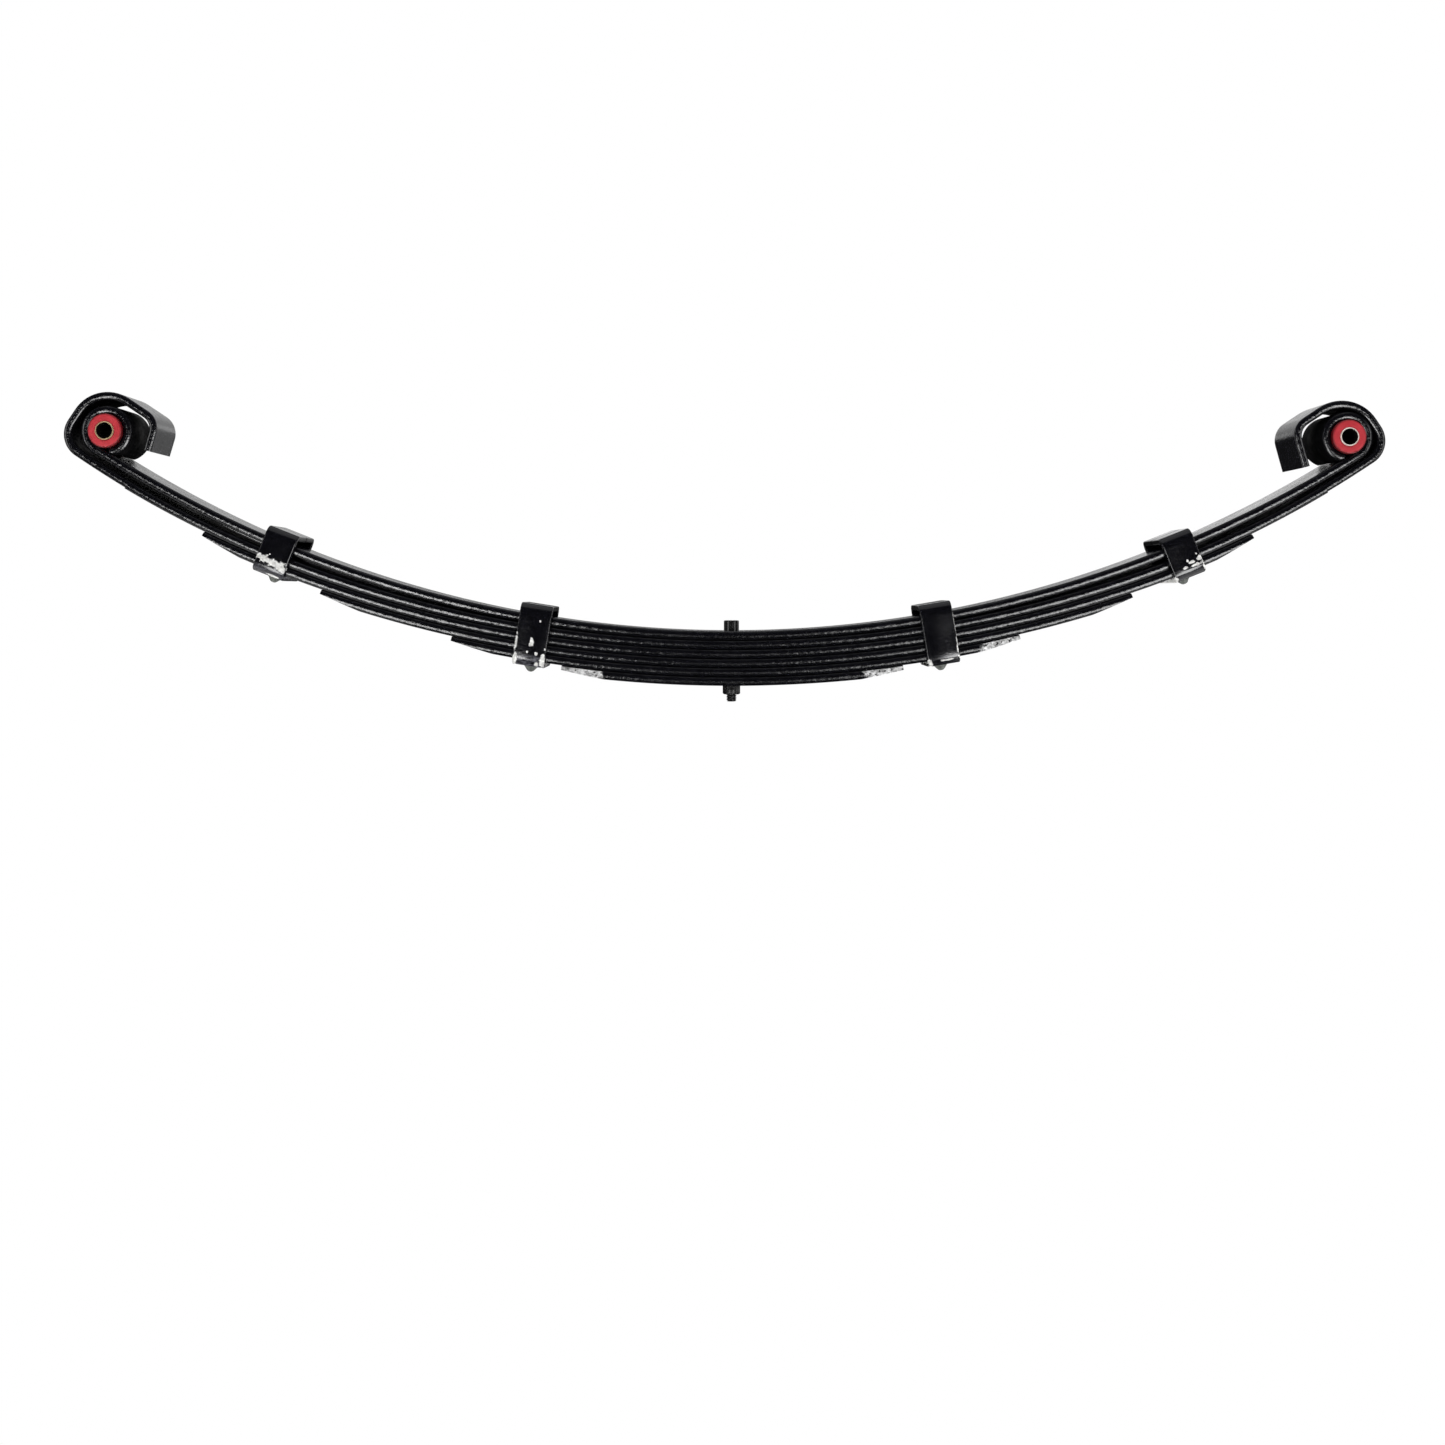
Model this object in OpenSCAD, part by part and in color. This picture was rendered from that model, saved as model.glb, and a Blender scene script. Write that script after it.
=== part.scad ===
// Semi-elliptic leaf spring: six leaves, wrapped eyes, split bushes and riveted rebound clips.
// X runs along the spring with the front at -X, Y runs across the leaves, and Z points up, to the
// hollow side. The origin is on the centre bolt's axis, on the main leaf's upper face.

/* [Leaves] */
// Width of every leaf
leaf_w = 63.5; // [55:0.5:75]
// Thickness of every leaf
leaf_t = 8.2; // [7.6:0.1:8.8]
// Radius of the rounded long edges
edge_r = 6.2; // [5:0.1:12]
// Gap between neighbouring leaves at the centre bolt
leaf_gap = 0.3; // [0.2:0.05:0.5]
// Radius of the main leaf's upper face
camber_r = 1090; // [1060:5:1110]
// Radius of the second leaf's upper face over its middle part
wrap_camber_r = 1148; // [1130:2:1170]
// Distance from the bolt to where the second leaf curves more, towards the front
front_break = 440; // [400:5:460]
// Distance from the bolt to where the second leaf curves more, towards the rear
rear_break = 380; // [360:5:420]
// Reach of the third leaf from the bolt, front and rear
reach_3 = [490, 483]; // [470:1:500]
// Reach of the fourth leaf from the bolt, front and rear
reach_4 = [381, 371]; // [350:1:400]
// Reach of the fifth leaf from the bolt, front and rear
reach_5 = [260, 267]; // [240:1:290]
// Reach of the sixth leaf from the bolt, front and rear
reach_6 = [158, 159]; // [120:1:180]
// Thickness left at a leaf's tapered tip
tip_t = 4.0; // [3:0.1:6]
// Length of the taper at a leaf's tip
taper_len = 40; // [20:1:60]

/* [Eyes] */
// Horizontal distance from the bolt to each eye's centre, front and rear
eye_x = [580.6, 571.7]; // [560:0.1:590]
// Inner radius of the eyes
eye_r = 15.5; // [15:0.1:16]
// Angle that the main leaf turns through as it curls into an eye
curl_angle = 320; // [300:1:325]
// Thickness of the second leaf's ends, which wrap the eyes
wrap_end_t = 7.2; // [6:0.1:8]
// Length of the thinner wrapping end before it reaches the eye's centre
wrap_end_lead = 43; // [20:1:60]
// Distance from the eye's centre to the second leaf's upper face, front and rear
wrap_drop = [27.8, 25.8]; // [25:0.1:30]
// Straight part of the wrap past the eye's centre, front and rear
wrap_base_run = [11.4, 7.5]; // [4:0.1:20]
// Inner radius of the wrap's first bend
wrap_low_r = 16.9; // [12:0.1:20]
// Straight part of the wrap outside the eye, front and rear
wrap_side_run = [11.8, 8.4]; // [5:0.1:20]
// Inner radius of the wrap's bend over the eye, front and rear
wrap_top_r = [28.8, 30.8]; // [26:0.1:32]
// Straight part of the wrap above the eye, front and rear
wrap_top_run = [21, 17.8]; // [10:0.1:30]
// Inner radius of the bend that turns the wrap's end back down
wrap_tail_r = 12.3; // [8:0.1:16]
// Angle of that last bend, front and rear
wrap_tail_angle = [73, 72]; // [60:1:105]
// Straight part at the wrap's free end, front and rear
wrap_tail_run = [17, 26]; // [10:0.1:28]

/* [Bushes and sleeves] */
// Radius of the bushes' collars
collar_r = 16; // [16:0.1:18]
// Thickness of the bushes' collars
collar_t = 5; // [3:0.1:8]
// Outer radius of the steel sleeves
sleeve_r = 8.6; // [8.5:0.1:11]
// Inner radius of the steel sleeves, which take the hanger and shackle bolts
sleeve_bore_r = 7.25; // [6:0.05:8]
// How far a sleeve stands out of each collar
sleeve_proud = 1; // [0.5:0.1:3]

/* [Centre bolt] */
// Radius of the round head that locates the axle's seat
head_r = 7.15; // [6:0.05:9]
// Height of the round head
head_h = 9.8; // [6:0.1:12]
// Radius of the bolt's shank
shank_r = 4.76; // [4:0.02:6]
// Width of the nut across its flats
nut_af = 14.3; // [13:0.1:19]
// Height of the nut
nut_h = 9; // [7:0.1:12]
// Length of thread below the nut
thread_tail = 7; // [2:0.1:12]

/* [Rebound clips] */
// Width of the clip straps along the spring
strap_w = 30; // [20:1:40]
// Thickness of the clip straps
strap_t = 4.8; // [3:0.1:6]
// Inner radius of a strap's corners
strap_corner_r = 3.2; // [2:0.1:3.4]
// Side clearance between a strap and the leaves
strap_side_gap = 0.9; // [0.6:0.1:2]
// Clearance between a strap and the main leaf's upper face
strap_top_gap = 5; // [2:0.1:8]
// Gap between a strap's two folded ends
strap_seam = 3; // [1:0.1:6]
// Distance from the bolt to the inner clips, front and rear
inner_clip_x = [187, 195]; // [178:1:205]
// Distance from the bolt to the outer clips, front and rear
outer_clip_x = [426, 421]; // [405:1:440]
// Radius of the rivets' shanks
rivet_r = 4; // [3:0.1:5]
// Radius of the rivets' heads
rivet_head_r = 7.25; // [6:0.05:9]
// Height of the rivets' heads
rivet_head_h = 6.5; // [4:0.1:8]

/* [Hidden] */
FRONT = 0;
REAR = 1;
$fn = 96;
// Facets of the long arcs when they are drawn as a mesh
arc_fn = 720;
// Small clearances: bolt and rivet holes, bush in eye, sleeve in bush, strap under leaf, bush halves
hole_gap = 0.1;
eye_fit = 0.08;
sleeve_fit = 0.05;
base_gap = 0.3;
half_gap = 0.15;
// Gap between the curl's scarfed end and the leaf's upper face
scarf_gap = 0.8;
// Each stretch of a leaf runs this far into the next, and every other one is this much smaller
lap = 0.1;
lap_inset = 0.04;
// Bevels on the bolt's head, its thread end, the sleeves' ends and the collars' rims
bevel = 0.8;
// Depth and extra radius of a rivet's countersunk upper end
sink_h = 2.4;
sink_r = 2.4;
rivet_tip_r = 2.2;
leaf_color = "#1b1b1e";
steel_color = "#8f8a80";
bush_color = "#c8323c";
sleeve_color = "#d8c9a4";

leaf_pitch = leaf_t + leaf_gap;
stack_h = 6 * leaf_t + 5 * leaf_gap;
sleeve_len = leaf_w + 2 * (collar_t + sleeve_proud);
breaks = [front_break, rear_break];
reaches = [reach_3, reach_4, reach_5, reach_6];

// Points are [x, z] on the half of the spring that runs towards +X; the front half is mirrored.
function eye_angle(side) = asin(eye_x[side] / (camber_r - eye_r));
function eye_centre(side) =
  [eye_x[side], camber_r - (camber_r - eye_r) * cos(eye_angle(side))];
function break_angle(side) = breaks[side] / wrap_camber_r * 180 / PI;
function wrap_centre() = [0, wrap_camber_r - leaf_pitch];
function down(angle) = [sin(angle), -cos(angle)];

// Radius of the second leaf's outer arc, tangent to its middle arc and to a circle about the eye
function outer_r(side) =
  let (d = wrap_centre() - eye_centre(side),
       along = d * down(break_angle(side)),
       r = wrap_camber_r,
       w = wrap_drop[side])
  (d * d + 2 * r * along + r * r - w * w) / (2 * (along + r - w));
function outer_centre(side) =
  wrap_centre() + (wrap_camber_r - outer_r(side)) * down(break_angle(side));
function wrap_angle(side) =
  let (v = eye_centre(side) - outer_centre(side)) atan2(v[0], -v[1]);

// Steps of leaf k's upper face from the bolt out to a reach: [angle, radius] for each arc
function leaf_steps(k, side, reach) =
  let (extra = (k - 2) * leaf_pitch,
       r_mid = wrap_camber_r + extra,
       r_out = outer_r(side) + extra,
       mid = asin(reach / r_mid),
       out = asin((reach - outer_centre(side)[0]) / r_out),
       turn = break_angle(side))
  mid <= turn ? [[mid, r_mid]] : [[turn, r_mid], [out - turn, r_out]];

// Places children on the +X half, or mirrors them to the front
module on_side(side) {
  mirror([side == FRONT ? 1 : 0, 0, 0]) children();
}

// Cross-section of a leaf: thickness along X, width along Y
module section(t, inset) {
  intersection() {
    square([t - 2 * inset, leaf_w], center = true);
    union() {
      square([t, leaf_w - 2 * edge_r], center = true);
      for (y = [-1, 1]) translate([0, y * (leaf_w / 2 - edge_r)]) circle(edge_r - inset);
    }
  }
}

// A stretch of leaf that bends up through an angle about an axis r above its upper face
module bend(angle, r, t, inset = 0) {
  translate([0, 0, r]) rotate([90, 0, 0]) rotate([0, 0, -90])
    rotate_extrude(angle = angle + lap / r * 180 / PI, $fn = r > 100 ? arc_fn : $fn)
      translate([r + t / 2, 0]) section(t, inset);
}

// A straight stretch of leaf
module run(length, t, inset = 0) {
  rotate([0, 90, 0]) linear_extrude(length + lap) translate([t / 2, 0]) section(t, inset);
}

// Places children where a list of steps ends, facing along the leaf
module after(steps, i = 0) {
  if (i == len(steps)) children();
  else if (steps[i][1] > 0)
    translate([0, 0, steps[i][1]]) rotate([0, -steps[i][0], 0])
      translate([0, 0, -steps[i][1]]) after(steps, i + 1) children();
  else translate([steps[i][0], 0, 0]) after(steps, i + 1) children();
}

// A strip of leaf along a list of steps: [angle, radius] bends it and [length, 0] runs straight
module strip(steps, t) {
  for (i = [0 : len(steps) - 1])
    after([for (j = [0 : 1 : i - 1]) steps[j]])
      if (steps[i][1] > 0) bend(steps[i][0], steps[i][1], t, i % 2 * lap_inset);
      else run(steps[i][0], t, i % 2 * lap_inset);
}

// Hole for the centre bolt through the whole stack
module bolt_hole() {
  translate([0, 0, -stack_h - 20]) cylinder(r = shank_r + hole_gap, h = stack_h + 40);
}

// The main leaf's end, rolled up and over; its last part is scarfed to clear the leaf
module curl() {
  plain = 220;
  bend(plain, eye_r, leaf_t, lap_inset);
  difference() {
    after([[plain, eye_r]]) bend(curl_angle - plain, eye_r, leaf_t);
    translate([-3 * eye_r, -leaf_w, -2 * leaf_t]) cube([3 * eye_r, 2 * leaf_w, 2 * leaf_t + scarf_gap]);
  }
}

module main_leaf() {
  color(leaf_color) difference() {
    for (side = [FRONT, REAR]) on_side(side) {
      bend(eye_angle(side), camber_r, leaf_t);
      after([[eye_angle(side), camber_r]]) curl();
    }
    bolt_hole();
  }
}

// The second leaf follows the main leaf and then wraps round both eyes with room to move
module wrap_leaf() {
  color(leaf_color) difference() {
    translate([0, 0, -leaf_pitch]) for (side = [FRONT, REAR]) on_side(side) {
      r = outer_r(side);
      lead = wrap_end_lead / r * 180 / PI;
      full = [[break_angle(side), wrap_camber_r], [wrap_angle(side) - break_angle(side) - lead, r]];
      strip(full, leaf_t);
      after(full) strip([
        [lead, r],
        [wrap_base_run[side], 0],
        [90, wrap_low_r],
        [wrap_side_run[side], 0],
        [90, wrap_top_r[side]],
        [wrap_top_run[side], 0],
        [wrap_tail_angle[side], wrap_tail_r],
        [wrap_tail_run[side], 0]
      ], wrap_end_t);
    }
    bolt_hole();
  }
}

// Leaves 3 to 6: each half is a strip with a tapered tip
module graduated_leaf(k) {
  taper = atan((leaf_t - tip_t) / taper_len);
  color(leaf_color) difference() {
    translate([0, 0, -(k - 1) * leaf_pitch]) for (side = [FRONT, REAR]) on_side(side) {
      steps = leaf_steps(k, side, reaches[k - 3][side]);
      difference() {
        strip(steps, leaf_t);
        after(steps) translate([0, 0, -tip_t]) rotate([0, -taper, 0])
          translate([-2 * taper_len, -leaf_w, -leaf_t]) cube([3 * taper_len, 2 * leaf_w, leaf_t]);
      }
    }
    bolt_hole();
    if (k == 3) for (side = [FRONT, REAR]) at_clip(k, side, outer_clip_x) rivet_hole();
    if (k == 5) for (side = [FRONT, REAR]) at_clip(k, side, inner_clip_x) rivet_hole();
  }
}

module centre_bolt() {
  tail = stack_h + nut_h + thread_tail;
  color(steel_color) {
    cylinder(r = head_r, h = head_h - bevel);
    translate([0, 0, head_h - bevel]) cylinder(r1 = head_r, r2 = head_r - bevel, h = bevel);
    translate([0, 0, -tail]) cylinder(r1 = shank_r - bevel, r2 = shank_r, h = bevel);
    translate([0, 0, bevel - tail]) cylinder(r = shank_r, h = tail - bevel);
  }
}

module centre_nut() {
  color(steel_color) translate([0, 0, -stack_h - nut_h - leaf_gap]) difference() {
    cylinder(r = nut_af / sqrt(3), h = nut_h, $fn = 6);
    translate([0, 0, -1]) cylinder(r = shank_r + hole_gap, h = nut_h + 2);
  }
}

// Places children on leaf k's upper face at a clip, with X along the leaf and Z out of its hollow side
module at_clip(k, side, reach) {
  on_side(side) translate([0, 0, -(k - 1) * leaf_pitch]) after(leaf_steps(k, side, reach[side])) children();
}

module rivet_hole() {
  translate([0, 0, -3 * leaf_t]) cylinder(r = rivet_r + hole_gap, h = 4 * leaf_t);
  translate([0, 0, -sink_h]) cylinder(r1 = rivet_r + hole_gap, r2 = rivet_r + sink_r + hole_gap, h = sink_h);
}

module rounded_box(w, h, r) {
  square([w - 2 * r, h], center = true);
  square([w, h - 2 * r], center = true);
  for (x = [-1, 1], y = [-1, 1]) translate([x * (w / 2 - r), y * (h / 2 - r)]) circle(r);
}

// Height inside a strap: k leaves, the gaps between them and the clearance above
function strap_inside(k, side, reach) =
  let (x = reach[side],
       opening = min(x * x / 2 * (1 / camber_r - 1 / wrap_camber_r), side == FRONT ? 9 : 3.2))
  k * leaf_t + (k - 1) * leaf_gap + opening + base_gap + strap_top_gap;

// A strap folded round k leaves from below, with its ends meeting over the main leaf
module clip(k, side, reach) {
  h = strap_inside(k, side, reach);
  w = leaf_w + 2 * strap_side_gap;
  corner = strap_corner_r;
  color(leaf_color) at_clip(k, side, reach) difference() {
    translate([-strap_w / 2, 0, h / 2 - leaf_t - base_gap]) rotate([90, 0, 90])
      linear_extrude(strap_w) difference() {
        rounded_box(w + 2 * strap_t, h + 2 * strap_t, corner + strap_t);
        rounded_box(w, h, corner);
      }
    translate([-strap_w, -strap_seam / 2, h - leaf_t - 2 * base_gap])
      cube([2 * strap_w, strap_seam, 3 * strap_t]);
    rivet_hole();
  }
}

// A rivet through a strap's base and leaf k: sunk flush above, with a pointed dome below
module rivet(k, side, reach) {
  base = leaf_t + base_gap + strap_t;
  color(leaf_color) at_clip(k, side, reach) {
    translate([0, 0, -base]) cylinder(r = rivet_r, h = base - sink_h);
    translate([0, 0, -sink_h]) cylinder(r1 = rivet_r, r2 = rivet_r + sink_r, h = sink_h - hole_gap);
    translate([0, 0, -base - rivet_head_h])
      cylinder(r1 = rivet_tip_r, r2 = rivet_head_r, h = rivet_head_h);
  }
}

// Places children at an eye's centre with Z along the eye's axis, towards -Y
module at_eye(side) {
  on_side(side) translate([eye_centre(side)[0], 0, eye_centre(side)[1]]) rotate([90, 0, 0]) children();
}

// Half of an eye's bush: a sleeve pressed in from one side, with a collar outside the eye
module bush(side, left) {
  inner = sleeve_r + sleeve_fit;
  body = eye_r - eye_fit;
  rim = leaf_w / 2 + collar_t;
  color(bush_color) at_eye(side) mirror([0, 0, left ? 0 : 1])
    rotate_extrude() polygon([
      [inner, half_gap], [body, half_gap], [body, leaf_w / 2], [collar_r, leaf_w / 2],
      [collar_r, rim - bevel], [collar_r - bevel, rim], [inner, rim]
    ]);
}

module sleeve(side) {
  end = sleeve_len / 2;
  color(sleeve_color) at_eye(side) rotate_extrude() polygon([
    [sleeve_bore_r, -end], [sleeve_r - bevel / 2, -end], [sleeve_r, bevel / 2 - end],
    [sleeve_r, end - bevel / 2], [sleeve_r - bevel / 2, end], [sleeve_bore_r, end]
  ]);
}

main_leaf();
wrap_leaf();
graduated_leaf(3);  // leaf_3
graduated_leaf(4);  // leaf_4
graduated_leaf(5);  // leaf_5
graduated_leaf(6);  // leaf_6
centre_bolt();
centre_nut();
clip(5, FRONT, inner_clip_x);  // front_inner_clip
clip(3, FRONT, outer_clip_x);  // front_outer_clip
clip(5, REAR, inner_clip_x);  // rear_inner_clip
clip(3, REAR, outer_clip_x);  // rear_outer_clip
rivet(5, FRONT, inner_clip_x);  // front_inner_rivet
rivet(3, FRONT, outer_clip_x);  // front_outer_rivet
rivet(5, REAR, inner_clip_x);  // rear_inner_rivet
rivet(3, REAR, outer_clip_x);  // rear_outer_rivet
bush(FRONT, true);  // front_bush_left
bush(FRONT, false);  // front_bush_right
bush(REAR, true);  // rear_bush_left
bush(REAR, false);  // rear_bush_right
sleeve(FRONT);  // front_sleeve
sleeve(REAR);  // rear_sleeve
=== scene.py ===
"""Looks of the leaf spring: painted leaves with rounded edges, clips, rivets, bolt and red bushes."""

import math

import bmesh
import bpy
import numpy as np
from mathutils import Matrix, Vector


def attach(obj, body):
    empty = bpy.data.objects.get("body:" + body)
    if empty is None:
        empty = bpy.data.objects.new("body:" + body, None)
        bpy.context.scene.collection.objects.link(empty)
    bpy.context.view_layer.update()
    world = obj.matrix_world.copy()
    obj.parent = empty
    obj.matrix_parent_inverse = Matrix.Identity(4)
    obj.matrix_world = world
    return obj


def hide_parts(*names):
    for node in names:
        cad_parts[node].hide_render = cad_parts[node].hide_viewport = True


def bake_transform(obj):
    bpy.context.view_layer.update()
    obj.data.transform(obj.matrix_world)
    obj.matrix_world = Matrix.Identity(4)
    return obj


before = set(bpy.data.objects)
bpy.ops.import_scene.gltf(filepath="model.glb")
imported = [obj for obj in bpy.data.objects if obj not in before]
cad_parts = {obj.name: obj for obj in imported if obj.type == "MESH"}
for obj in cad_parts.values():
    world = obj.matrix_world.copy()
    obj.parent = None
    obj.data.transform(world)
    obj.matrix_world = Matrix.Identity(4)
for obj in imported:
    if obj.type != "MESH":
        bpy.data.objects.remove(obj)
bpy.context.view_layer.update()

# Sizes in metres, as in the CAD part
MM = 0.001
LEAF_W = 63.5 * MM
LEAF_T = 8.2 * MM
LEAF_GAP = 0.3 * MM
PITCH = LEAF_T + LEAF_GAP
STACK = 6 * LEAF_T + 5 * LEAF_GAP
CAMBER_R = 1090 * MM
WRAP_R = 1148 * MM
BREAKS = (440 * MM, 380 * MM)
REACHES = {3: (490 * MM, 483 * MM), 4: (381 * MM, 371 * MM), 5: (260 * MM, 267 * MM), 6: (158 * MM, 159 * MM)}
TIP_T = 4 * MM
TAPER = 40 * MM
EYE_X = (580.6 * MM, 571.7 * MM)
EYE_R = 15.5 * MM
CURL = math.radians(320)
WRAP_T = 7.2 * MM
WRAP_LEAD = 43 * MM
WRAP_DROP = (27.8 * MM, 25.8 * MM)
WRAP_ENDS = (
    ((11.4, 0), (90, 16.9), (11.8, 0), (90, 28.8), (21, 0), (73, 12.3), (17, 0)),
    ((7.5, 0), (90, 16.9), (8.4, 0), (90, 30.8), (17.8, 0), (72, 12.3), (26, 0)),
)

# Each pair is front, rear; the front half lies towards -X
SIDES = ("front", "rear")
SIGNS = (-1, 1)
ARMS = ("front_arm", "rear_arm")
SLEEVES = ("front_hanger_sleeve", "rear_shackle_sleeve")


# ---------------------------------------------------------------- geometry of the arcs


def eye_angle(side):
    return math.asin(EYE_X[side] / (CAMBER_R - EYE_R))


def eye_centre(side):
    return np.array([EYE_X[side], CAMBER_R - (CAMBER_R - EYE_R) * math.cos(eye_angle(side))])


def down(angle):
    return np.array([math.sin(angle), -math.cos(angle)])


def wrap_outer(side):
    """Radius and centre of the second leaf's outer arc."""
    turn = BREAKS[side] / WRAP_R
    d = np.array([0, WRAP_R - PITCH]) - eye_centre(side)
    along = d @ down(turn)
    w = WRAP_DROP[side]
    r = (d @ d + 2 * WRAP_R * along + WRAP_R**2 - w * w) / (2 * (along + WRAP_R - w))
    return r, np.array([0, WRAP_R - PITCH]) + (WRAP_R - r) * down(turn)


def walk(start, heading, steps, fine=7 * MM):
    """Points and unit normals out of the lower face, along [angle, radius] bends and [length, 0] runs."""
    p, a = np.array(start, float), heading
    points, normals = [p.copy()], [down(a)]
    for amount, r in steps:
        if r > 0:
            n = max(2, math.ceil(max(amount * r / fine, amount / math.radians(6))))
            centre = p - down(a) * r
            for i in range(1, n + 1):
                points.append(centre + down(a + amount * i / n) * r)
                normals.append(down(a + amount * i / n))
            a += amount
        else:
            n = max(1, math.ceil(amount / fine))
            for i in range(1, n + 1):
                points.append(p + np.array([math.cos(a), math.sin(a)]) * amount * i / n)
                normals.append(down(a))
        p = points[-1].copy()
    return np.array(points), np.array(normals), a


def leaf_steps(k, side, reach):
    """Arcs of leaf k from the bolt out to a reach along X."""
    extra = (k - 2) * PITCH
    turn = BREAKS[side] / WRAP_R
    mid = math.asin(reach / (WRAP_R + extra))
    if mid <= turn:
        return [(mid, WRAP_R + extra)]
    r, c = wrap_outer(side)
    return [(turn, WRAP_R + extra), (math.asin((reach - c[0]) / (r + extra)) - turn, r + extra)]


# ---------------------------------------------------------------- meshes

SHARP = math.radians(35)
WELD = 1e-6
EDGE_R = 6.2 * MM
EDGE_SOFT = 0.9 * MM
EDGE_DROP = 0.25 * MM
# how deep into a leaf the faces between the leaves reach, which get the painted shade
SHADE_DEPTH = 0.7 * MM
# the turned UV's first part is the radius in units of 20 mm
TURNED = 50


def smooth_faces(me):
    me.polygons.foreach_set("use_smooth", [True] * len(me.polygons))
    me.set_sharp_from_angle(angle=SHARP)


def mesh_object(name, verts, faces):
    me = bpy.data.meshes.new(name)
    me.from_pydata([tuple(v) for v in verts], [], [tuple(f) for f in faces])
    me.validate()
    me.update()
    smooth_faces(me)
    o = bpy.data.objects.new(name, me)
    bpy.context.scene.collection.objects.link(o)
    return o


def weld(o):
    """Joins points that coincide and turns every face outward."""
    bm = bmesh.new()
    bm.from_mesh(o.data)
    bmesh.ops.remove_doubles(bm, verts=bm.verts, dist=WELD)
    bmesh.ops.recalc_face_normals(bm, faces=bm.faces)
    bm.to_mesh(o.data)
    bm.free()
    smooth_faces(o.data)


def grid_faces(rows, cols, flip):
    """Quads between rows of points, each row a closed ring."""
    faces = []
    for i in range(rows - 1):
        for k in range(cols):
            m = (k + 1) % cols
            f = (i * cols + k, i * cols + m, (i + 1) * cols + m, (i + 1) * cols + k)
            faces.append(f[::-1] if flip else f)
    return faces


def arc_points(cx, cy, r, a0, a1, n):
    return [(cx + r * math.cos(a), cy + r * math.sin(a)) for a in np.linspace(a0, a1, n)]


def leaf_outline(t, full=LEAF_T):
    """Cross-section as (across, depth) points: flat faces, rounded long edges and softened corners."""
    edge, soft = EDGE_R, EDGE_SOFT
    cy = LEAF_W / 2 - edge
    top = full / 2
    dy = math.sqrt((edge - soft) ** 2 - (top - soft) ** 2)
    fillet = math.atan2(top - soft, dy)
    whole = t > full - WELD
    side = [(y, 0.0) for y in np.linspace(0, cy + dy, 5)[:-1]]
    for a in np.linspace(math.pi / 2, fillet, 5):
        side.append((cy + dy + soft * math.cos(a), top - (top - soft + soft * math.sin(a))))
    low = -fillet if whole else math.asin(max(-1.0, min(1.0, (top - t) / edge)))
    low = max(low, -fillet)
    for a in np.linspace(fillet, low, 15)[1:]:
        side.append((cy + edge * math.cos(a), top - edge * math.sin(a)))
    if whole:
        for a in np.linspace(-fillet, -math.pi / 2, 5)[1:]:
            side.append((cy + dy + soft * math.cos(a), top - (-(top - soft) + soft * math.sin(a))))
    else:
        x, d = side[-1]
        corner = x - EDGE_DROP if d >= t - WELD else x
        side += [(x + (corner - x) * u, d + (t - d) * u) for u in (0.25, 0.5, 0.75, 1.0)]
    side += [(y, t) for y in np.linspace(side[-1][0], 0, 5)[1:]]
    left = [(-y, d) for y, d in side[-2:0:-1]]
    return np.array(side + left)


def ribbon(name, points, normals, thickness, side, shade_face, full=LEAF_T):
    """A closed leaf along points on its upper face; its "upper" or "lower" face, the one next to another
    leaf, gets a darker, duller paint as painted shade.
    """
    sign = SIGNS[side]
    rows = []
    for p, n, t in zip(points, normals, thickness):
        o = leaf_outline(t, full)
        x, z = p[0] + n[0] * o[:, 1], p[1] + n[1] * o[:, 1]
        rows.append(np.stack([sign * x, o[:, 0], z], 1))
    cols = len(rows[0])
    faces = grid_faces(len(rows), cols, flip=sign > 0)
    last = (len(rows) - 1) * cols
    first, end = list(range(cols)), list(range(last, last + cols))
    faces += [first[::-1], end] if sign < 0 else [first, end[::-1]]
    o = mesh_object(name, np.concatenate(rows), faces)
    depth = leaf_outline(full, full)[:, 1]
    depth = (depth + np.roll(depth, -1)) / 2
    # the faces next to another leaf get the painted-shade paint
    shaded = depth < SHADE_DEPTH if shade_face == "upper" else depth > full - SHADE_DEPTH
    index = np.zeros(len(faces), int)
    index[:last] = np.tile(shaded, len(rows) - 1)
    o.data.materials.append(leaf_paint)
    o.data.materials.append(leaf_matt_shade)
    o.data.polygons.foreach_set("material_index", index)
    return o


def lathe(name, profile, centre, axis, segs=96, closed=True):
    """Turns (radius, along) points about axis through centre."""
    axis = Vector(axis).normalized()
    u = axis.orthogonal().normalized()
    v = axis.cross(u)
    verts, cols = [], len(profile)
    for i in range(segs):
        a = 2 * math.pi * i / segs
        d = u * math.cos(a) + v * math.sin(a)
        for r, h in profile:
            verts.append(Vector(centre) + d * r + axis * h)
    faces = []
    for i in range(segs):
        j = (i + 1) % segs
        for k in range(cols if closed else cols - 1):
            m = (k + 1) % cols
            faces.append((i * cols + k, j * cols + k, j * cols + m, i * cols + m))
    o = mesh_object(name, verts, faces)
    weld(o)
    turned = o.data.uv_layers.new(name="turned")
    for loop in o.data.loops:
        v = o.data.vertices[loop.vertex_index].co - Vector(centre)
        h = v.dot(axis)
        turned.data[loop.index].uv = ((v - axis * h).length * TURNED, h)
    return o


# ---------------------------------------------------------------- materials


def new_material(name):
    m = bpy.data.materials.new(name)
    m.use_nodes = True
    nt = m.node_tree
    return m, nt, nt.nodes["Principled BSDF"]


def add(nt, kind, **values):
    n = nt.nodes.new(kind)
    for k, v in values.items():
        n.inputs[k].default_value = v
    return n


def split(nt, coordinate):
    """The three parts of a texture coordinate."""
    tc = nt.nodes.new("ShaderNodeTexCoord")
    sep = nt.nodes.new("ShaderNodeSeparateXYZ")
    nt.links.new(tc.outputs[coordinate], sep.inputs[0])
    return sep.outputs


def ramp(nt, source, stops):
    r = nt.nodes.new("ShaderNodeValToRGB")
    nt.links.new(source, r.inputs[0])
    els = r.color_ramp.elements
    for e, (pos, col) in zip(els, stops):
        e.position = pos
        e.color = (*col, 1)
    return r.outputs[0]


def grey(v):
    return (v, v, v)


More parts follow.
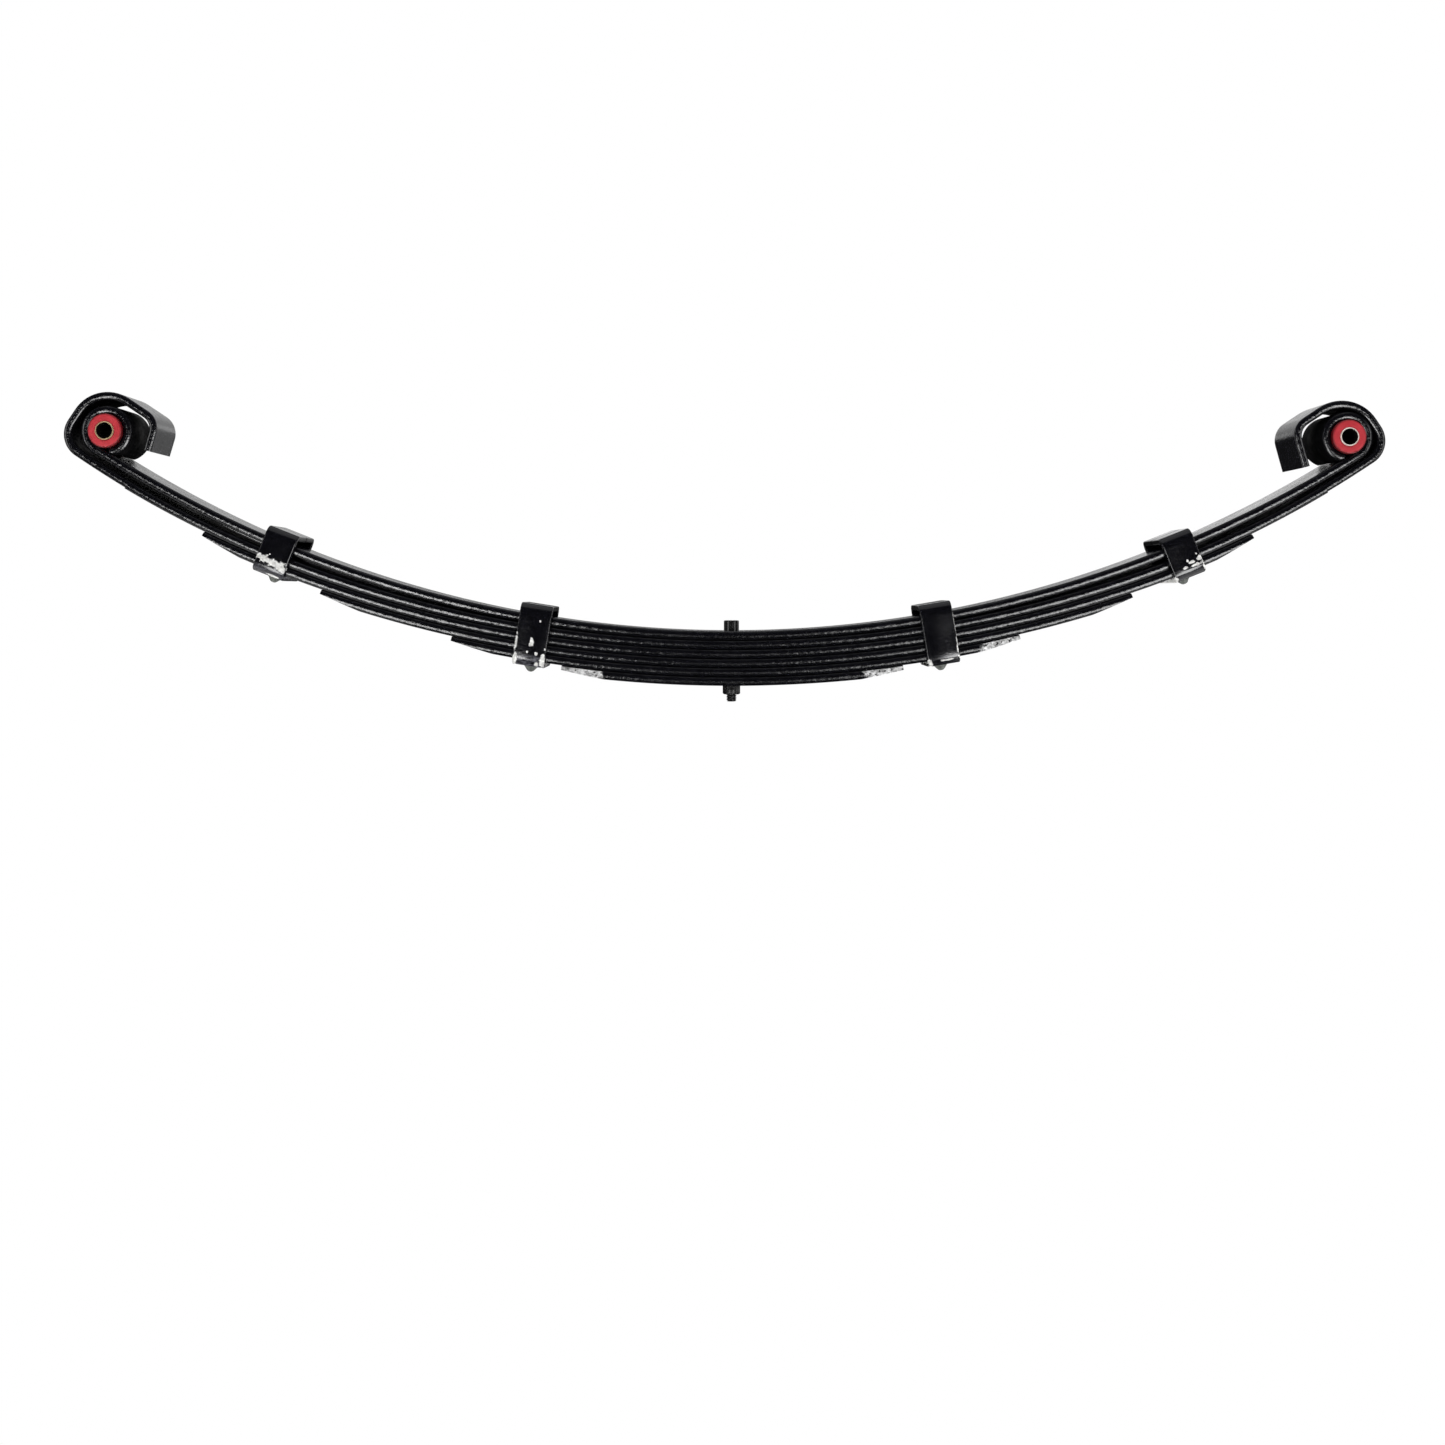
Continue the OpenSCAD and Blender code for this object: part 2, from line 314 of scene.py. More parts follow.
def noise(nt, scale, detail, rough, stretch=(1, 1, 1)):
    tc = nt.nodes.new("ShaderNodeTexCoord")
    mp = nt.nodes.new("ShaderNodeMapping")
    mp.inputs["Scale"].default_value = stretch
    nt.links.new(tc.outputs["Object"], mp.inputs["Vector"])
    n = add(nt, "ShaderNodeTexNoise", Scale=scale, Detail=detail, Roughness=rough)
    nt.links.new(mp.outputs[0], n.inputs["Vector"])
    return n.outputs["Fac"]


def maths(nt, op, a, b=None, clamp=False):
    m = nt.nodes.new("ShaderNodeMath")
    m.operation = op
    m.use_clamp = clamp
    for i, v in enumerate((a, b)):
        if v is None:
            continue
        if isinstance(v, (int, float)):
            m.inputs[i].default_value = v
        else:
            nt.links.new(v, m.inputs[i])
    return m.outputs[0]


def total(nt, *terms):
    out = terms[0]
    for term in terms[1:]:
        out = maths(nt, "ADD", out, term)
    return out


def product(nt, *factors):
    out = factors[0]
    for factor in factors[1:]:
        out = maths(nt, "MULTIPLY", out, factor)
    return out


def less(nt, a, b):
    return maths(nt, "SUBTRACT", a, b)


def steep(nt, a, slope):
    """A value times slope, held between 0 and 1."""
    return maths(nt, "MULTIPLY", a, slope, clamp=True)


def mix(nt, fac, a, b):
    m = nt.nodes.new("ShaderNodeMix")
    m.data_type = "RGBA"
    for sock, v in ((m.inputs["Factor"], fac), (m.inputs[6], a), (m.inputs[7], b)):
        if isinstance(v, tuple):
            sock.default_value = (*v, 1)
        else:
            nt.links.new(v, sock)
    return m.outputs[2]


def bump(nt, bsdf, height, strength, distance):
    b = add(nt, "ShaderNodeBump", Strength=strength, Distance=distance)
    nt.links.new(height, b.inputs["Height"])
    nt.links.new(b.outputs[0], bsdf.inputs["Normal"])


PAINT_BUMP = 1.1 * MM
FINE_BUMP = 0.3 * MM


def paint(name, tone=0.003, rough=0.12, wave=0.5, wear=None, sheen=0.5):
    """Black paint over rolled steel; wear builds a mask, a metal colour and how metallic it is."""
    m, nt, b = new_material(name)
    grain = noise(nt, 420, 3, 0.65, stretch=(0.45, 1, 1))
    broad = noise(nt, 38, 4, 0.6, stretch=(0.35, 1, 1))
    dark = (tone * 0.7, tone * 0.7, tone)
    light = (tone * 1.6, tone * 1.6, tone * 2.4)
    tint = ramp(nt, grain, [(0.3, dark), (0.75, light)])
    gloss = ramp(nt, broad, [(0.3, grey(rough * 0.75)), (0.75, grey(rough * 1.7))])
    if wear is None:
        nt.links.new(tint, b.inputs["Base Color"])
        nt.links.new(gloss, b.inputs["Roughness"])
    else:
        mask, colour, shine = wear(nt)
        nt.links.new(mix(nt, mask, tint, colour), b.inputs["Base Color"])
        nt.links.new(mix(nt, mask, gloss, grey(0.5)), b.inputs["Roughness"])
        nt.links.new(product(nt, mask, shine), b.inputs["Metallic"])
    b.inputs["Specular IOR Level"].default_value = sheen
    height = total(nt, broad, product(nt, grain, 0.55))
    bump(nt, b, height, wave, PAINT_BUMP)
    return m


def metal(name, colour, rough, metallic, grain, strength):
    m, nt, b = new_material(name)
    n = noise(nt, grain, 4, 0.6)
    dark = tuple(c * 0.75 for c in colour)
    light = tuple(c * 1.2 for c in colour)
    nt.links.new(ramp(nt, n, [(0.3, dark), (0.75, light)]), b.inputs["Base Color"])
    nt.links.new(ramp(nt, n, [(0.25, grey(rough * 0.8)), (0.8, grey(rough * 1.3))]), b.inputs["Roughness"])
    b.inputs["Metallic"].default_value = metallic
    bump(nt, b, n, strength, FINE_BUMP)
    return m


WEAR_RAG = 30 * MM
WEAR_EDGE = 400.0


def tip_wear(edges):
    """Bare metal beyond a distance from the bolt: edges is (front, rear), or None for a painted side."""

    def build(nt):
        x = split(nt, "Object")[0]
        rag = product(nt, less(nt, noise(nt, 60, 4, 0.7), 0.5), WEAR_RAG)
        worn = []
        for sign, edge in zip(SIGNS, edges):
            if edge is not None:
                past = total(nt, less(nt, product(nt, x, float(sign)), edge), rag)
                worn.append(steep(nt, past, WEAR_EDGE))
        spots = maths(nt, "GREATER_THAN", noise(nt, 420, 3, 0.6), 0.40)
        mask = worn[0] if len(worn) == 1 else maths(nt, "MAXIMUM", *worn)
        speckle = noise(nt, 300, 5, 0.8, stretch=(0.5, 1, 1))
        return product(nt, mask, spots), ramp(nt, speckle, [(0.38, grey(0.12)), (0.62, grey(0.95))]), 0.2

    return build


# ---------------------------------------------------------------- leaves

CURL_ROWS = 20
CURL_GAP = 0.9 * MM


def run_length(points):
    return np.concatenate([[0], np.cumsum(np.linalg.norm(np.diff(points, axis=0), axis=1))])


def tapered(points):
    s = run_length(points)
    return np.minimum(LEAF_T, TIP_T + (LEAF_T - TIP_T) * (s[-1] - s) / TAPER)


def dense_tip(points, normals):
    """Adds points inside the taper, where the section changes fast."""
    s = run_length(points)
    taper = np.linspace(s[-1] - TAPER, s[-1], 25)
    want = np.unique(np.concatenate([s[s < taper[0] - 1 * MM], taper]))
    p = np.stack([np.interp(want, s, points[:, i]) for i in (0, 1)], 1)
    n = np.stack([np.interp(want, s, normals[:, i]) for i in (0, 1)], 1)
    return p, n / np.linalg.norm(n, axis=1)[:, None]


def scarf_curl(o, rows, side):
    """Lifts the end of the curl, so that it clears the leaf below it."""
    sign, a = SIGNS[side], eye_angle(side)
    along, up = np.array([math.cos(a), math.sin(a)]), -down(a)
    start = np.array([CAMBER_R * math.sin(a), CAMBER_R - CAMBER_R * math.cos(a)])
    cols = len(leaf_outline(LEAF_T))
    for vertex in o.data.vertices[(rows - CURL_ROWS) * cols : rows * cols]:
        x, y, z = vertex.co
        v = np.array([sign * x, z]) - start
        h = v @ up
        if v @ along < 0 and h < CURL_GAP:
            p = v + up * (CURL_GAP - h) + start
            vertex.co = (sign * p[0], y, p[1])


def main_half(side):
    points, normals, _ = walk((0, 0), 0, [(eye_angle(side), CAMBER_R), (CURL, EYE_R)])
    thick = np.full(len(points), LEAF_T)
    o = ribbon("main_leaf_" + SIDES[side], points, normals, thick, side, "lower")
    scarf_curl(o, len(points), side)
    return o


def wrap_half(side):
    """The second leaf as two pieces: the leaf, and its thinner end round the eye."""
    r, c = wrap_outer(side)
    v = eye_centre(side) - c
    lead = WRAP_LEAD / r
    turn = BREAKS[side] / WRAP_R
    p1, n1, a1 = walk((0, -PITCH), 0, [(turn, WRAP_R), (math.atan2(v[0], -v[1]) - turn - lead, r)])
    ends = [(lead, r)] + [(math.radians(x) if rr else x * MM, rr * MM) for x, rr in WRAP_ENDS[side]]
    p2, n2, _ = walk(p1[-1], a1, ends, fine=4 * MM)
    leaf = ribbon("wrap_leaf_" + SIDES[side], p1, n1, np.full(len(p1), LEAF_T), side, "upper")
    end = ribbon("wrap_end_" + SIDES[side], p2, n2, np.full(len(p2), WRAP_T), side, "upper", WRAP_T)
    return leaf, end


def short_half(k, side):
    points, normals, _ = walk((0, -(k - 1) * PITCH), 0, leaf_steps(k, side, REACHES[k][side]))
    points, normals = dense_tip(points, normals)
    return ribbon(f"leaf_{k}_{SIDES[side]}", points, normals, tapered(points), side, "upper")


leaf_paint = paint("leaf_paint")
# painted shade: a darker, duller paint on the faces between the leaves stands in for the shade in the gaps
leaf_matt_shade = paint("leaf_matt_shade", tone=0.002, rough=0.6, sheen=0.12)
worn_paint = {
    5: paint("leaf_5_paint", wear=tip_wear((None, 232 * MM))),
    6: paint("leaf_6_paint", wear=tip_wear((122 * MM, 122 * MM))),
}


def bend_with(o):
    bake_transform(o)


for side in (0, 1):
    o = main_half(side)
    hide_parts("main_leaf")
    bend_with(o)

    for o in wrap_half(side):
        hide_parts("wrap_leaf")
        bend_with(o)

    for k in REACHES:
        o = short_half(k, side)
        o.data.materials[0] = worn_paint.get(k, leaf_paint)
        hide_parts(f"leaf_{k}")
        bend_with(o)

# ---------------------------------------------------------------- clips and rivets

STRAP_W = 30 * MM
STRAP_T = 4.8 * MM
STRAP_R = 3.2 * MM
STRAP_ROUND = 1 * MM
STRAP_SIDE = 0.9 * MM
STRAP_IN = LEAF_W + 2 * STRAP_SIDE
STRAP_SPARE = 5 * MM
FAN_OUT = (9 * MM, 3.2 * MM)
SEAM = 3 * MM
BASE_GAP = 0.3 * MM
CLIPS = (
    ("inner", 5, (187 * MM, 195 * MM)),
    ("outer", 3, (426 * MM, 421 * MM)),
)


def clip_frame(k, side, reach):
    """Matrix with X along leaf k away from the bolt, Z out of the hollow side, at its upper face."""
    p, _, a = walk((0, -(k - 1) * PITCH), 0, leaf_steps(k, side, reach))
    s = SIGNS[side]
    x = Vector((s * math.cos(a), 0, math.sin(a)))
    z = Vector((-s * math.sin(a), 0, math.cos(a)))
    m = Matrix((x, z.cross(x), z)).transposed().to_4x4()
    m.translation = Vector((s * p[-1][0], 0, p[-1][1]))
    return m


def strap_height(k, side, x):
    """Height inside a strap round leaves 1 to k, where the leaves stand apart at x from the bolt."""
    opening = min(x * x / 2 * (1 / CAMBER_R - 1 / WRAP_R), FAN_OUT[side])
    return k * LEAF_T + (k - 1) * LEAF_GAP + opening + BASE_GAP + STRAP_SPARE


def strap_path(w, h, r):
    """Points on the inside of the strap and the normals out of it, from seam to seam."""
    pts, nrm = [], []

    def line(a, b, n, count):
        for t in np.linspace(0, 1, count, endpoint=False):
            pts.append(np.array(a) * (1 - t) + np.array(b) * t)
            nrm.append(np.array(n, float))

    def corner(cx, cz, a0, a1):
        for a in np.linspace(a0, a1, 9)[:-1]:
            d = np.array([math.cos(a), math.sin(a)])
            pts.append(np.array([cx, cz]) + d * r)
            nrm.append(d)

    hw, hh, q = w / 2, h / 2, math.pi / 2
    line((SEAM / 2, hh), (hw - r, hh), (0, 1), 4)
    corner(hw - r, hh - r, q, 0)
    line((hw, hh - r), (hw, r - hh), (1, 0), 8)
    corner(hw - r, r - hh, 0, -q)
    line((hw - r, -hh), (r - hw, -hh), (0, -1), 8)
    corner(r - hw, r - hh, -q, -2 * q)
    line((-hw, r - hh), (-hw, hh - r), (-1, 0), 8)
    corner(r - hw, hh - r, -2 * q, -3 * q)
    line((r - hw, hh), (-SEAM / 2, hh), (0, 1), 4)
    pts.append(np.array([-SEAM / 2, hh]))
    nrm.append(np.array([0.0, 1.0]))
    return pts, nrm


def strap_outline():
    """Cross-section of a strap as (along the leaf, out of the strap) points."""
    hx, t, q, r = STRAP_W / 2, STRAP_T, math.pi / 2, STRAP_ROUND
    out = []
    for cx, cz, a0 in ((hx, t, 0), (-hx, t, q), (-hx, 0, 2 * q), (hx, 0, 3 * q)):
        sx, sz = (1 if cx > 0 else -1), (1 if cz > 0 else -1)
        out += arc_points(cx - sx * r, cz - sz * r, r, a0, a0 + q, 5)
    return out


def strap(name, m, h, lift):
    pts, nrm = strap_path(STRAP_IN, h, STRAP_R)
    section = strap_outline()
    cols = len(section)
    verts = []
    for p, n in zip(pts, nrm):
        for x, d in section:
            verts.append(m @ Vector((x, p[0] + n[0] * d, p[1] + n[1] * d + lift)))
    faces = grid_faces(len(pts), cols, flip=True)
    last = (len(pts) - 1) * cols
    faces += [list(range(cols)), list(range(last + cols - 1, last - 1, -1))]
    o = mesh_object(name, verts, faces)
    weld(o)
    return o


def strap_uv(o, m, h, lift):
    """U runs from the strap's lower outer face (0) to its top (1), V across the strap (-1 to 1)."""
    back = m.inverted()
    uv = o.data.uv_layers.new(name="strap")
    low = lift - h / 2 - STRAP_T
    for loop in o.data.loops:
        p = back @ o.data.vertices[loop.vertex_index].co
        uv.data[loop.index].uv = ((p.z - low) / (h + 2 * STRAP_T), p.x / (STRAP_W / 2))


# Bare patches on each strap; the band across each outer strap at about a third of its height is bare metal
# and a painted highlight: height (0 to 1), place across (-1 inboard to 1 outboard), half sizes
BARE_AND_HIGHLIGHT_PATCHES = {
    "front_outer": (
        (0.33, 0.95, 0.065, 0.3),
        (0.31, 0.45, 0.07, 0.4),
        (0.29, -0.1, 0.075, 0.4),
        (0.26, -0.65, 0.10, 0.4),
        (0.03, -0.3, 0.02, 0.5),
        (0.40, 0.35, 0.02, 0.06),
        (0.44, 0.25, 0.015, 0.05),
    ),
    "rear_outer": (
        (0.33, 0.85, 0.05, 0.18),
        (0.30, 0.3, 0.03, 0.2),
        (0.36, 0.1, 0.03, 0.07),
        (0.22, 0.5, 0.03, 0.45),
        (0.24, -0.15, 0.025, 0.2),
        (0.20, 0.98, 0.16, 0.07),
        (0.05, -0.95, 0.1, 0.1),
        (0.44, 0.75, 0.02, 0.06),
    ),
    "front_inner": (
        (0.10, 0.90, 0.09, 0.18),
        (0.34, 0.97, 0.14, 0.1),
        (0.11, -0.84, 0.1, 0.17),
        (0.05, -0.5, 0.03, 0.14),
        (0.39, 0.0, 0.065, 0.13),
        (0.22, 0.16, 0.02, 0.07),
        (0.22, -0.4, 0.025, 0.08),
        (0.74, -0.35, 0.025, 0.05),
        (0.31, -0.9, 0.02, 0.05),
    ),
    "rear_inner": (
        (0.10, 1.0, 0.03, 0.08),
        (0.22, 0.93, 0.06, 0.05),
        (0.33, 0.97, 0.07, 0.035),
        (0.62, 1.0, 0.2, 0.025),
        (0.08, -0.9, 0.035, 0.13),
        (0.075, 0.3, 0.012, 0.5),
        (0.03, -0.85, 0.03, 0.12),
    ),
}
# How far the folded lower end of each strap is scraped, 0 to 1
SCRAPE = {"front_outer": 0.5, "rear_outer": 0.12, "front_inner": 0.9, "rear_inner": 0.1}
SCRAPE_TOP = 0.20
PATCH_RAG = 3.2


def oval_patch(nt, up, along, rag, patch):
    """1 inside a ragged oval patch."""
    u, v, half_u, half_v = patch
    du = maths(nt, "DIVIDE", less(nt, up, u), half_u)
    dv = maths(nt, "DIVIDE", less(nt, along, v), half_v)
    near = maths(nt, "SQRT", total(nt, product(nt, du, du), product(nt, dv, dv)))
    return steep(nt, total(nt, less(nt, 1.15, near), rag), 4.0)


def strap_paint(key):
    """Gloss black straps, bare where they were folded, struck and rubbed, with a painted highlight on the
    bare band across the outer straps.
    """

    def wear(nt):
        up, along, _ = split(nt, "UV")
        rag = product(nt, less(nt, noise(nt, 210, 5, 0.7), 0.5), PATCH_RAG)
        mask = steep(nt, less(nt, noise(nt, 260, 4, 0.7), 0.74), 30.0)
        for patch in BARE_AND_HIGHLIGHT_PATCHES[key]:
            mask = maths(nt, "MAXIMUM", mask, oval_patch(nt, up, along, rag, patch))
        # bare metal up to near white; on the outer straps' band this brightness is a painted highlight
        bare = ramp(nt, noise(nt, 240, 4, 0.7), [(0.3, (0.42, 0.41, 0.40)), (0.6, (0.95, 0.95, 0.92))])
        # the folded lower end is scraped to a brushed dark grey
        low = steep(nt, less(nt, SCRAPE_TOP, up), 14.0)
        brushed = noise(nt, 300, 4, 0.7, stretch=(0.3, 1, 1))
        streak = ramp(nt, brushed, [(0.42, grey(0.0)), (0.68, grey(1.0))])
        scrape = product(nt, low, streak, SCRAPE[key])
        return maths(nt, "MAXIMUM", mask, scrape), mix(nt, mask, (0.16, 0.16, 0.19), bare), 0.3

    return paint(f"clip_{key}", rough=0.11, wave=0.12, wear=wear)


RIVET_H = 6.5 * MM
RIVET_R = 7.25 * MM
RIVET_TIP = 2.2 * MM
RIVET_TIP_ROUND = 0.5 * MM
RIVET_RIM = 0.9 * MM
RIVET_SHANK = 4 * MM
SINK_R = 6.4 * MM
SINK_TOP = 0.1 * MM
SINK_LOW = 2.4 * MM


def rivet_profile():
    """A cone head with a rounded tip under the strap, a shank, and a countersunk upper head."""
    base = LEAF_T + BASE_GAP + STRAP_T
    bottom = -base - RIVET_H
    pts = [(0, bottom)]
    for a in np.linspace(0.3, math.pi / 2, 5):
        pts.append((RIVET_TIP * math.sin(a), bottom + RIVET_TIP_ROUND * (1 - math.cos(a))))
    for t in np.linspace(0.12, 0.9, 8):
        r = RIVET_TIP + (RIVET_R - RIVET_TIP) * t
        pts.append((r, bottom + (RIVET_H - 0.6 * MM) * t**1.08 + 0.2 * MM))
    pts += [(RIVET_R, -base - RIVET_RIM), (RIVET_R, -base), (RIVET_SHANK, -base)]
    return pts + [(RIVET_SHANK, -SINK_LOW), (SINK_R, -SINK_TOP), (0, -SINK_TOP)]


rivet_paint = metal("rivet_paint", (0.15, 0.16, 0.145), 0.45, metallic=0.35, grain=120, strength=0.25)

for kind, k, reach in CLIPS:
    for side in (0, 1):
        key = f"{SIDES[side]}_{kind}"
        m = clip_frame(k, side, reach[side])
        h = strap_height(k, side, reach[side])
        lift = h / 2 - LEAF_T - BASE_GAP
        o = strap(f"{key}_strap", m, h, lift)
        strap_uv(o, m, h, lift)
        o.data.materials.append(strap_paint(key))
        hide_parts(f"{key}_clip")
        upward = m.to_3x3() @ Vector((0, 0, 1))
        r = lathe(f"{key}_rivet_body", rivet_profile(), m.translation, upward, segs=48, closed=False)
        r.data.materials.append(rivet_paint)
        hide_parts(f"{key}_rivet")
        for piece in (o, r):
            if kind == "inner":
                bend_with(piece)
            else:
                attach(piece, ARMS[side])

# ---------------------------------------------------------------- centre bolt and nut

SHANK_R = 4.76 * MM
HEAD_R = 7.15 * MM
HEAD_H = 9.8 * MM
HEAD_ROUND = 1 * MM
HEAD_LIFT = 0.02 * MM
NUT_AF = 14.3 * MM
NUT_H = 9 * MM
NUT_CHAMFER = 0.9 * MM
NUT_FIT = 0.1 * MM
NUT_EASE = 0.5 * MM
NUT_SEGS = 96
TAIL = 7 * MM
THREAD = 1.59 * MM
THREAD_DEPTH = 0.85 * MM
THREAD_SEGS = 72
THREAD_ROWS = 14
THREAD_LEAD = 1.2 * MM
THREAD_END = 0.84
bolt_steel = metal("bolt_steel", (0.012, 0.0115, 0.012), 0.24, metallic=0.1, grain=140, strength=0.2)


def bolt_profile():
    shank_end = -STACK - NUT_H * 0.6
    rim = arc_points(HEAD_R - HEAD_ROUND, HEAD_H - HEAD_ROUND, HEAD_ROUND, math.pi / 2, 0, 6)
    neck = [(HEAD_R, HEAD_LIFT), (SHANK_R, HEAD_LIFT), (SHANK_R, shank_end), (0, shank_end)]
    return [(0, HEAD_H)] + rim + neck


def thread(name, top, bottom, r):
    """A helical thread that narrows at its bottom end."""
    segs = THREAD_SEGS
    rows = int((top - bottom) / THREAD * THREAD_ROWS)
    verts = [(0, 0, bottom)]
    for i in range(rows + 1):
        z = bottom + (top - bottom) * i / rows
        for k in range(segs):
            a = 2 * math.pi * k / segs
            u = (z / THREAD - k / segs) % 1.0
            crest = min(1.0, max(0.0, 1.6 * (1 - abs(2 * u - 1)) - 0.2))
            end = min(1.0, (z - bottom) / THREAD_LEAD)
            rr = (r - THREAD_DEPTH * (1 - crest)) * (THREAD_END + (1 - THREAD_END) * end)
            verts.append((rr * math.cos(a), rr * math.sin(a), z))
    faces = [tuple(1 + v for v in f) for f in grid_faces(rows + 1, segs, flip=False)]
    faces += [(0, 1 + (k + 1) % segs, 1 + k) for k in range(segs)]
    top_row = 1 + rows * segs
    faces.append(tuple(range(top_row, top_row + segs)))
    return mesh_object(name, verts, faces)


def nut(name, top, bottom, af, bore):
    """A hexagon with both ends chamfered and a bored hole."""
    segs, ease = NUT_SEGS, NUT_EASE
    corner, flat = af / math.sqrt(3), af / 2
    round_r = flat * 0.96
    turns = [2 * math.pi * k / segs for k in range(segs)]
    rings = []
    for z, full in ((bottom, 0.0), (bottom + NUT_CHAMFER, 1.0), (top - NUT_CHAMFER, 1.0), (top, 0.0)):
        cap = round_r + (corner - round_r) * full
        rings.append((z, [min(flat / math.cos(a % (math.pi / 3) - math.pi / 6), cap) for a in turns]))
    for z, r in ((top, bore + ease), (top - ease, bore), (bottom + ease, bore), (bottom, bore + ease)):
        rings.append((z, [r] * segs))
    verts = [(r * math.cos(a), r * math.sin(a), z) for z, radii in rings for r, a in zip(radii, turns)]
    faces = []
    for i in range(len(rings)):
        a, b = i * segs, (i + 1) % len(rings) * segs
        for k in range(segs):
            m = (k + 1) % segs
            faces.append((a + k, a + m, b + m, b + k))
    o = mesh_object(name, verts, faces)
    weld(o)
    return o


o = lathe("bolt_head_and_shank", bolt_profile(), (0, 0, 0), (0, 0, 1), segs=64, closed=False)
o.data.materials.append(bolt_steel)
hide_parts("centre_bolt")
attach(o, "pack")

o = thread("bolt_thread", -STACK - NUT_H * 0.5, -STACK - NUT_H - TAIL, SHANK_R)
o.data.materials.append(bolt_steel)
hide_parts("centre_bolt")
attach(o, "pack")

nut_top = -STACK - LEAF_GAP
o = nut("hex_nut", nut_top, nut_top - NUT_H, NUT_AF, SHANK_R + NUT_FIT)
o.data.materials.append(bolt_steel)
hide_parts("centre_nut")
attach(o, "pack")

# ---------------------------------------------------------------- bushes and sleeves

COLLAR_R = 16 * MM
COLLAR_T = 5 * MM
COLLAR_ROUND = 1.6 * MM
BUSH_EASE = 0.6 * MM
BUSH_SPLIT = 0.15 * MM
BUSH_FIT = 0.05 * MM
EYE_FIT = 0.08 * MM
SLEEVE_R = 8.6 * MM
SLEEVE_IN = 7.25 * MM
SLEEVE_EASE = 0.5 * MM
SLEEVE_PROUD = 1 * MM
RIM_SHADE = (14 * MM, 15.7 * MM)
EYE_SHADE = 0.1 * MM
# radial reach of the painted shade in the sleeve bore
BORE_SHADE = 0.25 * MM


def bush_material():
    """Red moulded urethane, with painted shade darkening it towards the rim and on the parts inside the eye.
    """
    m, nt, b = new_material("bush_urethane")
    face = ramp(nt, noise(nt, 70, 3, 0.5), [(0.3, (0.44, 0.028, 0.038)), (0.75, (0.55, 0.045, 0.058))])
    radius = split(nt, "UV")[0]
    # painted shade: the face darkens towards the rim
    rim = ramp(nt, radius, [(TURNED * r, grey(v)) for r, v in zip(RIM_SHADE, (0.0, 1.0))])
    colour = mix(nt, rim, face, (0.10, 0.004, 0.006))
    # painted shade: the parts inside the eye are near black
    across = maths(nt, "ABSOLUTE", split(nt, "Object")[1])
    inside = maths(nt, "LESS_THAN", across, LEAF_W / 2 + EYE_SHADE)
    nt.links.new(mix(nt, inside, colour, (0.012, 0.001, 0.001)), b.inputs["Base Color"])
    b.inputs["Roughness"].default_value = 0.38
    b.inputs["Specular IOR Level"].default_value = 0.3
    bump(nt, b, noise(nt, 260, 3, 0.6), 0.06, FINE_BUMP)
    return m


def sleeve_material(name, colour):
    """Plated steel with a near black, dull bore as painted shade."""
    m, nt, b = new_material(name)
    n = noise(nt, 200, 4, 0.6)
    # painted shade: the bore surface is near black, dull and not metallic
    wall = maths(nt, "LESS_THAN", split(nt, "UV")[0], TURNED * (SLEEVE_IN + BORE_SHADE))
    plate = ramp(nt, n, [(0.3, tuple(c * 0.7 for c in colour)), (0.75, colour)])
    nt.links.new(mix(nt, wall, plate, (0.006, 0.004, 0.003)), b.inputs["Base Color"])
    nt.links.new(mix(nt, wall, grey(0.3), grey(0.85)), b.inputs["Roughness"])
    nt.links.new(product(nt, less(nt, 1.0, wall), 0.35), b.inputs["Metallic"])
    b.inputs["Specular IOR Level"].default_value = 0.15
    bump(nt, b, n, 0.1, FINE_BUMP)
    return m


def bush_profile():
    """Half of a split bush: its body in the eye, and the collar outside."""
    inner, body, half = SLEEVE_R + BUSH_FIT, EYE_R - EYE_FIT, LEAF_W / 2
    rim = half + COLLAR_T
    corner = arc_points(COLLAR_R - COLLAR_ROUND, rim - COLLAR_ROUND, COLLAR_ROUND, 0, math.pi / 2, 8)
    pts = [(inner, BUSH_SPLIT), (body, BUSH_SPLIT), (body, half), (COLLAR_R, half)]
    return pts + corner + [(inner + BUSH_EASE, rim), (inner, rim - BUSH_EASE)]


def sleeve_profile():
    end, ease = LEAF_W / 2 + COLLAR_T + SLEEVE_PROUD, SLEEVE_EASE
    pts = [(SLEEVE_IN, ease - end), (SLEEVE_IN + ease, -end), (SLEEVE_R - ease, -end), (SLEEVE_R, ease - end)]
    return pts + [(r, -z) for r, z in pts[::-1]]


bush_red = bush_material()
zinc = (
    sleeve_material("sleeve_zinc_front", (0.62, 0.47, 0.27)),
    sleeve_material("sleeve_zinc_rear", (1.0, 0.90, 0.82)),
)

for side in (0, 1):
    ec = eye_centre(side)
    centre = (SIGNS[side] * ec[0], 0, ec[1])
    for hand, axis in (("left", (0, -1, 0)), ("right", (0, 1, 0))):
        o = lathe(f"{SIDES[side]}_bush_{hand}_moulding", bush_profile(), centre, axis)
        o.data.materials.append(bush_red)
        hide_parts(f"{SIDES[side]}_bush_{hand}")
        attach(o, ARMS[side])
    o = lathe(f"{SIDES[side]}_sleeve_tube", sleeve_profile(), centre, (0, 1, 0))
    o.data.materials.append(zinc[side])
    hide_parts(f"{SIDES[side]}_sleeve")
    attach(o, SLEEVES[side])

# ---------------------------------------------------------------- floor and room

FLOOR_Z = -0.45
FLOOR_HALF = 9.0
FLOOR_FRONT = -5.0
WALL_Y = 3.2
WALL_TOP = 4.5
COVE_R = 1.2
ROOM_R = 7.0


